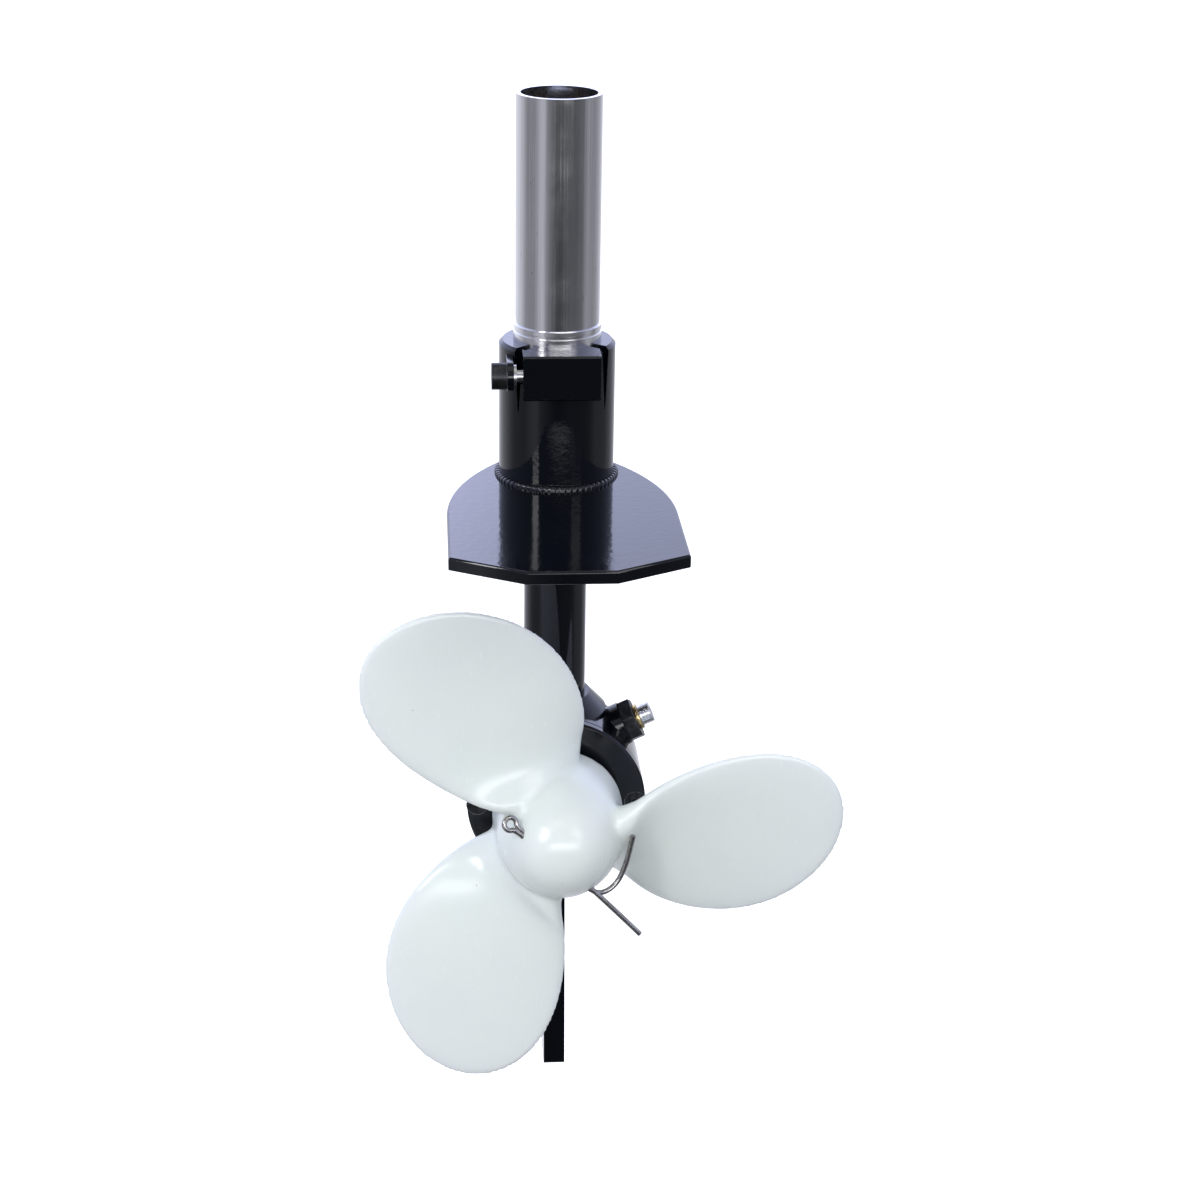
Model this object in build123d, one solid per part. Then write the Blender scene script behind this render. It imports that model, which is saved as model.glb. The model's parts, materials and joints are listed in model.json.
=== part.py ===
from build123d import *
import math
import os

# ---------------------------------------------------------------------------
# Long-leg trolling motor: the lower leg of a tube-driven outboard.
# A drive tube carries a vertical shaft down to a bevel gear case that turns a
# three-blade propeller. Millimetres; +Z is up along the drive tube, -Y is aft.
# The origin is on the tube's axis, at its top end, where the engine clamps on.
# ---------------------------------------------------------------------------

# Clearances
RUN = 0.06            # running fit, on the radius
SEAT = 0.015          # pieces pushed together within one body, on the radius

# Drive tube and its clamp
TUBE_R = 14.0
TUBE_WALL = 1.5
TUBE_BOTTOM = -121.0
TUBE_SEAT_R = 13.7               # turned down where the bush grips it
BUSH_R = 14.7
BUSH_TOP = -75.2
BUSH_GROOVE = 0.3
BUSH_GROOVE_WIDTH = 0.9
COLLAR_R = 19.4
COLLAR_RIM = -81.0
COLLAR_EDGE = 1.2
BUSH_GROOVE_Z = COLLAR_RIM + 3.2
SLIT_DEPTH = 21.0
SLIT_WIDTH = 4.0
SLIT_TIP_WIDTH = 0.5
SLIT_ANGLES = (-44.0, 52.0)      # from straight aft, positive to +X

# Clamp screw, along X in front of the collar
SCREW_Y = -18.8
SCREW_Z = -88.4
SCREW_R = 2.0
SCREW_HEAD_R = 4.4
SCREW_HEAD_LENGTH = 5.0
BLOCK_X = (-12.2, 13.2)
BLOCK_Y = (-22.4, -13.0)
BLOCK_Z = (-96.0, -81.0)
BLOCK_EDGE = 0.6
EAR_X = (-17.4, -15.2)
EAR_R = 4.8
EAR_INNER_Y = -8.0
SCREW_SOCKET_R = 2.3
SCREW_SOCKET_DEPTH = 2.6
SCREW_SHANK_LENGTH = 26.0
WASHER_THICKNESS = 0.9
WASHER_R = 3.8
COLLAR_WELD_FOOT = 2.4
COLLAR_WELD_HEIGHT = 2.6

# Anti-cavitation plate
PLATE_TOP = -128.0
PLATE_THICKNESS = 4.2
PLATE_HALF_WIDTH = 37.5
PLATE_NOSE_R = 23.0
PLATE_SIDE_START = -40.0
PLATE_CORNER = -80.0
PLATE_TAIL = -93.0
PLATE_TAIL_HALF = 14.0
PLATE_EDGE = 0.5
PLATE_BOTTOM = PLATE_TOP - PLATE_THICKNESS

# Lower tube
LOWER_R = 10.75
LOWER_WALL = 2.75
LOWER_TOP = -123.5
LOWER_BOTTOM = -214.5
TUBE_WELD_LEG = 2.2

# Gear case, round the propeller shaft's axis
SHAFT_Z = -243.5
CASE_R = 31.3
CASE_AFT = -16.0
CASE_FORE = 8.0
CASE_NOSE = 25.0
CASE_NOSE_R = 12.0
CASE_NOSE_ROUND = 24.0
CAVITY_R = 18.0
SPIGOT_R = 24.0
SPIGOT_FORE = -11.2
NECK_TOP = -208.6
NECK_TOP_R = 12.4
NECK_FOOT = -214.8
NECK_FOOT_R = 18.2
NECK_FLOOR = SHAFT_Z + 12.0
NOSE_BORE_R = 6.5
BEARING_SHOULDER_R = 8.0
COVER_AFT = -20.0
COVER_EDGE = 0.8
COVER_RELIEF_R = 14.2
COVER_RELIEF = 0.5
SEAL_SEAT_R = 9.0
GASKET = 0.5
GASKET_INSET = 0.4
GASKET_GAP = 0.3
COVER_SCREW_RING = 27.7
COVER_SCREW_LENGTH = 8.0
COVER_SCREWS = 4
COVER_SCREW_R = 2.0
COVER_HEAD_R = 3.9
COVER_HEAD_FOOT_R = 1.7
COVER_HEAD = 2.2
COVER_HEX_R = 1.45
COVER_HEX_DEPTH = 1.5

# Filler boss on the gear case, pointing to +X and up
BOSS_TILT = 25.0
BOSS_START = (18.0, 0.0, -225.4)
BOSS_R = 7.6
BOSS_LENGTH = 8.0
BOSS_SINK = 6.0
BOSS_BORE_SINK = 14.0
FILLER_THREAD_R = 4.0
PLUG_HALF_ACROSS = 6.9
PLUG_HEAD = 4.6
PLUG_THREAD_LENGTH = 7.5
VENT_R = 2.0
VENT_WASHER_R = 4.6
VENT_WASHER_THICKNESS = 1.4
VENT_HEAD_R = 3.7
VENT_HEAD = 4.2
VENT_SOCKET_R = 1.8
VENT_SOCKET_DEPTH = 2.2
VENT_SHANK_LENGTH = 11.0

# Skeg
SKEG_THICKNESS = 7.6
SKEG_TOP = -262.0
SKEG_BOTTOM = -351.0
SKEG_TOP_Y = (-9.0, 21.0)
SKEG_BOTTOM_Y = (-20.5, 3.0)
SKEG_CORNER_R = 2.0
SKEG_RELIEF_R = 27.0

# Drive line
DRIVE_R = 4.0
DRIVE_SQUARE = 5.6
DRIVE_SQUARE_Z = (-14.0, -3.0)
DRIVE_BOTTOM = SHAFT_Z + 6.9
UPPER_BUSH_Z = (-32.0, -16.0)
MIDDLE_BUSH_Z = (-117.0, -103.0)
LOWER_BUSH_Z = (-142.0, -126.0)
SEAL_Z = (LOWER_BOTTOM + 1.5, LOWER_BOTTOM + 7.5)
CLIP_GROOVE = 0.5          # depth of the snap-ring grooves in both shafts
CLIP_SLACK = 0.05          # a snap ring is this much thinner than its groove
PINION_CLIP_Z = SHAFT_Z + 7.9
PINION_CLIP_WIDTH = 0.7
PINION_CLIP_REACH = 1.3
PINION_KEY_Z = (SHAFT_Z + 10.5, SHAFT_Z + 18.5)
PINION_KEY_Y = (-5.0, -2.6)
PINION_KEY_HALF = 1.0
PINION_KEY_RUN = 2.0       # extra length of the slot, above the key
PROP_SHAFT_R = 5.0
PROP_SHAFT_FORE = 20.0
PROP_SHAFT_AFT = -63.0
PROP_SHAFT_END_GAP = 1.5   # room ahead of the shaft's end
GEAR_KEY_Y = (-10.6, -5.5)
GEAR_KEY_HALF = 1.5
GEAR_KEY_RISE = (3.2, 6.2)
GEAR_CLIP_Y = -4.9
GEAR_CLIP_WIDTH = 0.8
GEAR_CLIP_REACH = 1.5
CLIP_OPENING = 40.0

# Bevel gears; tooth heights are in modules
MODULE = 1.25
PINION_TEETH = 14
GEAR_TEETH = 20
GEAR_FACE = 5.0
TOOTH_TOP = 0.85
TOOTH_ROOT = 1.2
TOOTH_SINK = 0.25
TOOTH_WIDTH = 0.40         # share of the pitch, less than half for backlash
FLANK_ANGLE = 22.0
GEAR_WEB = 0.6
PINION_HUB_R = 6.2
PINION_HUB_LENGTH = 5.4
DRIVEN_HUB_R = 7.2
DRIVEN_HUB_LENGTH = 0.9

# Bearings
BEARING_R = 11.0
PINION_BEARING_Z = SHAFT_Z + 19.5
PINION_BEARING_WIDTH = 7.0
PINION_BALLS = 7
PINION_BALL_R = 2.0
BEARING_CLIP_Z = PINION_BEARING_Z + 7.1
BEARING_CLIP_R = 8.6
BEARING_CLIP_WIDTH = 1.0
BEARING_CLIP_OPENING = 30.0
SHAFT_BEARING_WIDTH = 6.0
SHAFT_BALLS = 9
SHAFT_BALL_R = 1.75
FRONT_BEARING_Y = 11.0
REAR_BEARING_Y = -16.9
SHOULDER = 1.2             # metal left behind the front bearing
THRUST_WASHER_R = 9.5
THRUST_WASHER = 1.5

# Propeller shaft's lip seal
SEAL_FACE_Y = (COVER_AFT + 0.3, COVER_AFT + 1.3)
SEAL_SHAFT_GAP = 0.05
SEAL_RIM_R = 7.6
SEAL_LIP_R = 6.4
SEAL_RIM_END = REAR_BEARING_Y - 0.2
SEAL_LIP_END = REAR_BEARING_Y - 0.6

# Propeller
HUB_BASE = -23.0
HUB_BASE_R = 23.0
HUB_WAIST = -40.5
HUB_WAIST_R = 21.8
HUB_SHOULDER = (13.8, -61.4)
HUB_NOSE = -67.0
HUB_EDGE = 0.8
BLADES = 3
BLADE_START = 117.7        # angle of the first blade, from +X towards +Z
BLADE_Y = -42.0
BLADE_CENTRE = 46.0        # radius of the middle of the blade's outline
BLADE_REACH = 50.0         # from that middle to the tip
BLADE_HALF_CHORD = 30.5
BLADE_PITCH = 56.0
ROOT_TWIST = 0.9           # share by which the pitch grows at the hub
ROOT_REACH = 7.0           # over which that twist dies away, outwards
BLADE_RAKE = 0.084
COTTER_Y = -58.5
COTTER_ANGLE = -42.0       # from +X towards +Z
COTTER_R = 1.25
COTTER_HOLE = 60.0
EYE_R = 2.5
WIRE_R = 0.75
LEG_R = 0.9
SHANK_RANGE = (-17.6, 16.4)      # along the pin's line, from the shaft's axis
STRAIGHT_LEG = (16.2, 36.2)
BEND_START = 21.8
BEND_RISE = (-0.6, 1.0, 0.4)
BENT_LEG = ((21.4, -54.0, -11.5), (24.4, -53.0, -3.0), (25.2, -52.6, 3.0))
BEND_R = 2.2
SHEAR_PIN_Y = -28.0
SHEAR_PIN_R = 2.0
SHEAR_PIN_HALF = 12.0
SHEAR_PIN_GAP = 0.5
TIP_THICKNESS = 1.6        # half thickness of a blade at its tip
ROOT_THICKENING = 4.2      # added to it by the root
SKEW = (8.3, 2.0)
OUTLINE_LEAN = (0.42, -0.15)

os.makedirs("parts", exist_ok=True)
pieces = {}


def save(name, shape):
    """Keep a piece under its node name."""
    shape.label = name
    pieces[name] = shape


def disc(radius, low, high):
    """Solid cylinder on the drive tube's axis, between two heights."""
    return Pos(0, 0, (low + high) / 2) * Cylinder(radius, high - low)


def tube(outer, inner, low, high):
    """Hollow cylinder on the drive tube's axis."""
    return disc(outer, low, high) - disc(inner, low - 1, high + 1)


def prop_disc(radius, aft, fore):
    """Solid cylinder on the propeller shaft's axis, between two places along Y."""
    return Pos(0, (aft + fore) / 2, SHAFT_Z) * Rot(90, 0, 0) * Cylinder(radius, fore - aft)


def prop_ring(outer, inner, aft, fore):
    """Hollow cylinder on the propeller shaft's axis."""
    return prop_disc(outer, aft, fore) - prop_disc(inner, aft - 1, fore + 1)


def rod(start, direction, radius, length):
    """Solid cylinder from a point along a direction."""
    plane = Plane(origin=start, z_dir=direction)
    return plane * Pos(0, 0, length / 2) * Cylinder(radius, length)


def box_between(low, high):
    """Box between two corners."""
    middle = [(a + b) / 2 for a, b in zip(low, high)]
    size = [b - a for a, b in zip(low, high)]
    return Pos(*middle) * Box(*size)


def bearing(bore, outer, width, balls, ball_r):
    """Outer ring, inner ring and balls of a deep-groove bearing, from 0 up along Z."""
    pitch = (bore + outer) / 2
    land = 0.5 * ball_r
    groove = Pos(0, 0, width / 2) * Torus(pitch, ball_r + RUN)
    outer_ring = tube(outer - SEAT, pitch + land, 0, width) - groove
    inner_ring = tube(pitch - land, bore + SEAT, 0, width) - groove
    ball = Pos(pitch, 0, width / 2) * Sphere(ball_r)
    ball_set = [Rot(0, 0, 360 * i / balls) * ball for i in range(balls)]
    return outer_ring, inner_ring, Compound(children=ball_set)


def circlip(inner, outer, low, thickness, gap_angle):
    """Snap ring from low upwards along Z, open over gap_angle at +X."""
    ring = tube(outer, inner, low, low + thickness)
    half_gap = outer * math.tan(math.radians(gap_angle / 2))
    gap = Pos(outer, 0, low + thickness / 2) * Box(2 * outer - inner, 2 * half_gap, 2 * thickness)
    return ring - gap


# ---------------------------------------------------------------------------
# Bevel gears. The pitch apex is the local origin and the gear lies below it.
# ---------------------------------------------------------------------------
def bevel_gear(teeth, mate_teeth, bore, hub_r, hub_length, first_tooth):
    """Straight bevel gear with tapered teeth, its hub towards -Z."""
    pitch_r = MODULE * teeth / 2
    apex_height = MODULE * mate_teeth / 2
    cone = math.hypot(pitch_r, apex_height)
    tilt = math.atan2(pitch_r, apex_height)
    taper = 1 - GEAR_FACE / cone
    addendum = TOOTH_TOP * MODULE
    dedendum = TOOTH_ROOT * MODULE
    root_r = pitch_r - dedendum * math.cos(tilt)
    root_z = -apex_height - dedendum * math.sin(tilt)
    back_z = root_z - hub_length
    web_z = root_z - GEAR_WEB
    outline = Polyline(
        (bore, taper * root_z), (taper * root_r, taper * root_z), (root_r, root_z),
        (root_r, web_z), (hub_r, web_z), (hub_r, back_z), (bore, back_z), close=True,
    )
    body = revolve(Plane.XZ * make_face(outline), Axis.Z)

    flank = math.tan(math.radians(FLANK_ANGLE))
    half_pitch_width = TOOTH_WIDTH * math.pi * MODULE / 2

    def tooth_corner(height, side):
        """Corner of the tooth's large end, at a height from the pitch cone."""
        half_width = half_pitch_width - height * flank
        radius = pitch_r + height * math.cos(tilt)
        level = -apex_height + height * math.sin(tilt)
        return Vector(radius, side * half_width, level)

    foot = -dedendum - TOOTH_SINK * MODULE
    corners = [tooth_corner(foot, -1), tooth_corner(addendum, -1),
               tooth_corner(addendum, 1), tooth_corner(foot, 1)]
    large_end = Face(Wire.make_polygon(corners, close=True))
    small_end = Face(Wire.make_polygon([c * taper for c in corners], close=True))
    tooth = loft([large_end, small_end], ruled=True)
    for i in range(teeth):
        body += Rot(0, 0, first_tooth + 360 * i / teeth) * tooth
    return body


# ---------------------------------------------------------------------------
# Drive tube, shim bush and clamp collar
# ---------------------------------------------------------------------------
drive_tube = disc(TUBE_R, BUSH_TOP, 0) + disc(TUBE_SEAT_R, TUBE_BOTTOM, BUSH_TOP)
drive_tube -= disc(TUBE_R - TUBE_WALL, TUBE_BOTTOM - 1, 1)
save("drive_tube", drive_tube)

shim_bush = tube(BUSH_R - SEAT, TUBE_SEAT_R + SEAT, TUBE_BOTTOM, BUSH_TOP)
groove_top = BUSH_GROOVE_Z + BUSH_GROOVE_WIDTH
shim_bush -= tube(BUSH_R + 1, BUSH_R - BUSH_GROOVE, BUSH_GROOVE_Z, groove_top)
save("shim_bush", shim_bush)


def collar_slit(angle):
    """V-shaped cutter, wide at the rim and closing downwards, through one wall."""
    half = SLIT_WIDTH / 2
    tip = SLIT_TIP_WIDTH / 2
    top = COLLAR_RIM + 1
    bottom = COLLAR_RIM - SLIT_DEPTH
    outline = Polyline((-half, top), (half, top), (tip, bottom), (-tip, bottom), close=True)
    cutter = extrude(Plane.XZ * make_face(outline), 2 * COLLAR_R)
    return Rot(0, 0, angle) * cutter


def collar_blank(radius):
    """The collar before it is bored, with its upper edge chamfered."""
    blank = disc(radius, PLATE_TOP, COLLAR_RIM)
    return chamfer(blank.edges().group_by(Axis.Z)[-1], COLLAR_EDGE)


clamp_collar = collar_blank(COLLAR_R) - disc(BUSH_R, PLATE_TOP - 1, COLLAR_RIM + 1)
for slit_angle in SLIT_ANGLES:
    clamp_collar -= collar_slit(slit_angle)
collar_body = collar_blank(COLLAR_R + SEAT)
screw_line_start = (EAR_X[0] - SCREW_HEAD_LENGTH, SCREW_Y, SCREW_Z)
along_x = (1, 0, 0)
block_low, block_high = zip(BLOCK_X, BLOCK_Y, BLOCK_Z)
clamp_block = box_between(block_low, block_high)
clamp_block = chamfer(clamp_block.edges().filter_by(Axis.X).group_by(Axis.Y)[0], BLOCK_EDGE)
clamp_block -= collar_body
hole_length = SCREW_HEAD_LENGTH + SCREW_SHANK_LENGTH + 1
screw_hole = rod(screw_line_start, along_x, SCREW_R + SEAT, hole_length)
save("clamp_block", clamp_block - screw_hole)
save("clamp_collar", clamp_collar - screw_hole)

ear_round = rod((EAR_X[0], SCREW_Y, SCREW_Z), along_x, EAR_R, EAR_X[1] - EAR_X[0])
ear_low = (EAR_X[0], SCREW_Y, SCREW_Z - EAR_R)
ear_high = (EAR_X[1], EAR_INNER_Y, SCREW_Z + EAR_R)
ear_web = box_between(ear_low, ear_high)
save("clamp_ear", ear_round + ear_web - collar_body - screw_hole)

head = rod(screw_line_start, along_x, SCREW_HEAD_R, SCREW_HEAD_LENGTH)
socket_plane = Plane(origin=screw_line_start, z_dir=along_x)
socket = socket_plane * extrude(RegularPolygon(SCREW_SOCKET_R, 6), SCREW_SOCKET_DEPTH)
shank = rod((EAR_X[0], SCREW_Y, SCREW_Z), along_x, SCREW_R, SCREW_SHANK_LENGTH)
save("clamp_screw", head - socket + shank)

washer_start = (EAR_X[1], SCREW_Y, SCREW_Z)
clamp_washer = rod(washer_start, along_x, WASHER_R, WASHER_THICKNESS)
clamp_washer -= rod(washer_start, along_x, SCREW_R + SEAT, WASHER_THICKNESS)
save("clamp_washer", clamp_washer - collar_body)

# ---------------------------------------------------------------------------
# Anti-cavitation plate, its welds and the lower tube
# ---------------------------------------------------------------------------
# The shoulder arc is tangent to the straight side and to the nose arc.
side_reach_squared = PLATE_HALF_WIDTH**2 + PLATE_SIDE_START**2
shoulder_r = (side_reach_squared - PLATE_NOSE_R**2) / (2 * (PLATE_HALF_WIDTH - PLATE_NOSE_R))
shoulder_x = PLATE_HALF_WIDTH - shoulder_r
to_nose = Vector(-shoulder_x, -PLATE_SIDE_START, 0).normalized()
nose_start = Vector(shoulder_x, PLATE_SIDE_START, 0) + to_nose * shoulder_r
mid_angle = math.atan2(to_nose.Y, to_nose.X) / 2
shoulder_mid = (
    shoulder_x + shoulder_r * math.cos(mid_angle),
    PLATE_SIDE_START + shoulder_r * math.sin(mid_angle),
)
side_start = (PLATE_HALF_WIDTH, PLATE_SIDE_START)
nose_point = (nose_start.X, nose_start.Y)
right_edge = Polyline(
    side_start, (PLATE_HALF_WIDTH, PLATE_CORNER), (PLATE_TAIL_HALF, PLATE_TAIL), (0, PLATE_TAIL),
)
right_shoulder = ThreePointArc(side_start, shoulder_mid, nose_point)
nose_mid_angle = (math.atan2(nose_point[1], nose_point[0]) + math.pi / 2) / 2
nose_mid = (PLATE_NOSE_R * math.cos(nose_mid_angle), PLATE_NOSE_R * math.sin(nose_mid_angle))
right_nose = ThreePointArc(nose_point, nose_mid, (0, PLATE_NOSE_R))
half_outline = Curve() + [right_edge, right_shoulder, right_nose]
half_outline += Line((0, PLATE_NOSE_R), (0, PLATE_TAIL))
half_plate = extrude(Pos(0, 0, PLATE_BOTTOM) * make_face(half_outline), PLATE_THICKNESS)
plate = half_plate + mirror(half_plate, Plane.YZ)
rim_edges = plate.edges().filter_by(lambda edge: abs(edge.center().Z - PLATE_TOP) < SEAT)
plate = chamfer(rim_edges, PLATE_EDGE)
plate -= disc(LOWER_R + SEAT, PLATE_BOTTOM - 1, PLATE_TOP + 1)
save("cavitation_plate", plate)


def weld_bead(inner, foot, low, high):
    """Ring of triangular section: foot wide where it lies on the plate."""
    outline = Polyline((inner, low), (inner + foot, low), (inner, high), close=True)
    return revolve(Plane.XZ * make_face(outline), Axis.Z)


collar_weld_top = PLATE_TOP + COLLAR_WELD_HEIGHT
save("collar_weld", weld_bead(COLLAR_R + SEAT, COLLAR_WELD_FOOT, PLATE_TOP, collar_weld_top))
tube_weld_bottom = PLATE_BOTTOM - TUBE_WELD_LEG
save("tube_weld", weld_bead(LOWER_R + SEAT, TUBE_WELD_LEG, PLATE_BOTTOM, tube_weld_bottom))
save("lower_tube", tube(LOWER_R, LOWER_R - LOWER_WALL, LOWER_BOTTOM, LOWER_TOP))

# ---------------------------------------------------------------------------
# Gear case, its rear cover and its fittings
# ---------------------------------------------------------------------------
case_line = (
    Polyline((0, CASE_AFT), (CASE_R, CASE_AFT), (CASE_R, CASE_FORE))
    + RadiusArc((CASE_R, CASE_FORE), (CASE_NOSE_R, CASE_NOSE), -CASE_NOSE_ROUND)
    + Polyline((CASE_NOSE_R, CASE_NOSE), (0, CASE_NOSE), (0, CASE_AFT))
)
barrel = Pos(0, 0, SHAFT_Z) * revolve(make_face(case_line), Axis.Y)
neck_line = Polyline(
    (0, NECK_TOP), (NECK_TOP_R, NECK_TOP), (NECK_FOOT_R, NECK_FOOT),
    (NECK_FOOT_R, NECK_FLOOR), (0, NECK_FLOOR), close=True,
)
neck = revolve(Plane.XZ * make_face(neck_line), Axis.Z)
neck -= box_between((-CASE_R, -CASE_R, SHAFT_Z), (CASE_R, CASE_AFT, NECK_TOP + 1))
boss_angle = math.radians(BOSS_TILT)
boss_dir = Vector(math.cos(boss_angle), 0, math.sin(boss_angle))


def on_boss(distance):
    """Point on the filler boss's axis, at a distance from its start."""
    return Vector(*BOSS_START) + boss_dir * distance


gear_case = barrel + neck + rod(on_boss(-BOSS_SINK), boss_dir, BOSS_R, BOSS_LENGTH + BOSS_SINK)
gear_case -= prop_disc(SPIGOT_R + SEAT, CASE_AFT - 1, SPIGOT_FORE)
gear_case -= prop_disc(CAVITY_R, SPIGOT_FORE - 1, FRONT_BEARING_Y - SHOULDER)
gear_case -= prop_disc(BEARING_SHOULDER_R, 0, FRONT_BEARING_Y + 1)
gear_case -= prop_disc(BEARING_R, FRONT_BEARING_Y, FRONT_BEARING_Y + SHAFT_BEARING_WIDTH)
gear_case -= prop_disc(NOSE_BORE_R, FRONT_BEARING_Y, PROP_SHAFT_FORE + PROP_SHAFT_END_GAP)
gear_case -= disc(BEARING_SHOULDER_R, SHAFT_Z, PINION_BEARING_Z + 1)
gear_case -= disc(BEARING_R, PINION_BEARING_Z, LOWER_BOTTOM)
gear_case -= disc(LOWER_R + SEAT, LOWER_BOTTOM - SEAT, NECK_TOP + 1)
filler_bore_length = BOSS_LENGTH + BOSS_BORE_SINK + 1
gear_case -= rod(on_boss(-BOSS_BORE_SINK), boss_dir, FILLER_THREAD_R + SEAT, filler_bore_length)

# Outer face centres of the cover screws, evenly round the propeller shaft
cover_screw_places = []
for i in range(COVER_SCREWS):
    turn = 2 * math.pi * i / COVER_SCREWS
    screw_x = COVER_SCREW_RING * math.cos(turn)
    screw_z = SHAFT_Z + COVER_SCREW_RING * math.sin(turn)
    cover_screw_places.append((screw_x, COVER_AFT, screw_z))

forward = (0, 1, 0)
for place in cover_screw_places:
    gear_case -= rod(place, forward, COVER_SCREW_R + SEAT, COVER_SCREW_LENGTH + GASKET)
save("gear_case", gear_case)

gasket_aft = CASE_AFT - GASKET
gasket = prop_ring(CASE_R - GASKET_INSET, SPIGOT_R + GASKET_GAP, gasket_aft, CASE_AFT)
cover = prop_disc(CASE_R, COVER_AFT, gasket_aft)
cover_rim = cover.edges().filter_by(GeomType.CIRCLE).sort_by(Axis.Y)[0]
cover = chamfer(cover_rim, COVER_EDGE)
cover += prop_disc(SPIGOT_R, gasket_aft - 1, SPIGOT_FORE)
cover -= prop_disc(COVER_RELIEF_R, SPIGOT_FORE - COVER_RELIEF, SPIGOT_FORE + 1)
cover -= prop_disc(BEARING_R, REAR_BEARING_Y, SPIGOT_FORE + 1)
cover -= prop_disc(SEAL_SEAT_R, COVER_AFT - 1, REAR_BEARING_Y + 1)
screws = []
for place in cover_screw_places:
    shaft = rod(place, forward, COVER_SCREW_R, COVER_SCREW_LENGTH)
    face_plane = Plane(origin=place, z_dir=forward)
    head_centre = face_plane * Pos(0, 0, COVER_HEAD / 2)
    cone = head_centre * Cone(COVER_HEAD_R, COVER_HEAD_FOOT_R, COVER_HEAD)
    drive_hex = face_plane * extrude(RegularPolygon(COVER_HEX_R, 6), COVER_HEX_DEPTH)
    cover -= rod(place, forward, COVER_SCREW_R + SEAT, COVER_SCREW_LENGTH)
    cover -= head_centre * Cone(COVER_HEAD_R + SEAT, COVER_HEAD_FOOT_R + SEAT, COVER_HEAD)
    gasket -= rod(place, forward, COVER_SCREW_R + GASKET_GAP, COVER_SCREW_LENGTH)
    screws.append(shaft + cone - drive_hex)
save("rear_cover", cover)
save("cover_gasket", gasket)
save("cover_screws", Compound(children=screws))

seal_inner = PROP_SHAFT_R + SEAL_SHAFT_GAP
seal_outer = SEAL_SEAT_R - SEAT
seal_face = prop_ring(seal_outer, seal_inner, *SEAL_FACE_Y)
seal_rim = prop_ring(seal_outer, SEAL_RIM_R, SEAL_FACE_Y[1], SEAL_RIM_END)
seal_lip = prop_ring(SEAL_LIP_R, seal_inner, SEAL_FACE_Y[1], SEAL_LIP_END)
save("shaft_seal", seal_face + seal_rim + seal_lip)

# Filler plug: a hexagon with a sealing washer and a small vent screw on its outer face
plug_plane = Plane(origin=on_boss(BOSS_LENGTH), z_dir=boss_dir)
hexagon = RegularPolygon(PLUG_HALF_ACROSS, 6, major_radius=False)
plug_hex = plug_plane * extrude(hexagon, PLUG_HEAD)
plug_foot = BOSS_LENGTH - PLUG_THREAD_LENGTH
plug_thread = rod(on_boss(plug_foot), boss_dir, FILLER_THREAD_R, PLUG_THREAD_LENGTH)
vent_hole_length = PLUG_THREAD_LENGTH + PLUG_HEAD + 2
vent_hole = rod(on_boss(plug_foot - 1), boss_dir, VENT_R + SEAT, vent_hole_length)
save("filler_plug", plug_hex + plug_thread - vent_hole)
vent_seat = BOSS_LENGTH + PLUG_HEAD
washer_ring = rod(on_boss(vent_seat), boss_dir, VENT_WASHER_R, VENT_WASHER_THICKNESS)
washer_ring -= rod(on_boss(vent_seat), boss_dir, VENT_R + SEAT, VENT_WASHER_THICKNESS)
save("vent_washer", washer_ring)
vent_base = vent_seat + VENT_WASHER_THICKNESS
vent_head = rod(on_boss(vent_base), boss_dir, VENT_HEAD_R, VENT_HEAD)
vent_socket_floor = vent_base + VENT_HEAD - VENT_SOCKET_DEPTH
vent_socket_plane = Plane(origin=on_boss(vent_socket_floor), z_dir=boss_dir)
vent_socket = vent_socket_plane * extrude(RegularPolygon(VENT_SOCKET_R, 6), VENT_SOCKET_DEPTH + 1)
vent_shank = rod(on_boss(vent_base - VENT_SHANK_LENGTH), boss_dir, VENT_R, VENT_SHANK_LENGTH)
save("vent_screw", vent_head - vent_socket + vent_shank)

# Skeg: a raked fin under the case, its top edge shaped to the barrel
skeg_line = FilletPolyline(
    (SKEG_TOP_Y[0], SKEG_TOP), (SKEG_TOP_Y[1], SKEG_TOP),
    (SKEG_BOTTOM_Y[1], SKEG_BOTTOM), (SKEG_BOTTOM_Y[0], SKEG_BOTTOM),
    close=True, radius=SKEG_CORNER_R,
)
skeg = extrude(Plane.YZ * make_face(skeg_line), SKEG_THICKNESS / 2, both=True)
skeg -= prop_disc(CASE_R + SEAT, -CASE_R, CASE_FORE + SEAT)
skeg -= prop_disc(SKEG_RELIEF_R, -CASE_R, CASE_R)
skeg -= barrel
save("skeg", skeg)

# ---------------------------------------------------------------------------
# Drive line: vertical shaft, its bushes, bearing and pinion
# ---------------------------------------------------------------------------
square_bottom, square_top = DRIVE_SQUARE_Z
half_square = DRIVE_SQUARE / 2
square_end = box_between(
    (-half_square, -half_square, square_bottom), (half_square, half_square, square_top),
)
clip_floor_r = DRIVE_R - CLIP_GROOVE
drive_shaft = disc(DRIVE_R, DRIVE_BOTTOM, square_bottom) + square_end
drive_shaft -= tube(DRIVE_R + 1, clip_floor_r, PINION_CLIP_Z, PINION_CLIP_Z + PINION_CLIP_WIDTH)
key_low, key_high = PINION_KEY_Z
key_back, key_front = PINION_KEY_Y
pinion_key = box_between(
    (-PINION_KEY_HALF, key_back, key_low), (PINION_KEY_HALF, key_front, key_high),
)
slot_half = PINION_KEY_HALF + SEAT
key_slot = box_between(
    (-slot_half, key_back - SEAT, key_low - SEAT), (slot_half, key_front, key_high + SEAT),
)
drive_shaft -= key_slot
save("drive_shaft", drive_shaft)
save("pinion_key", pinion_key)

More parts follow.
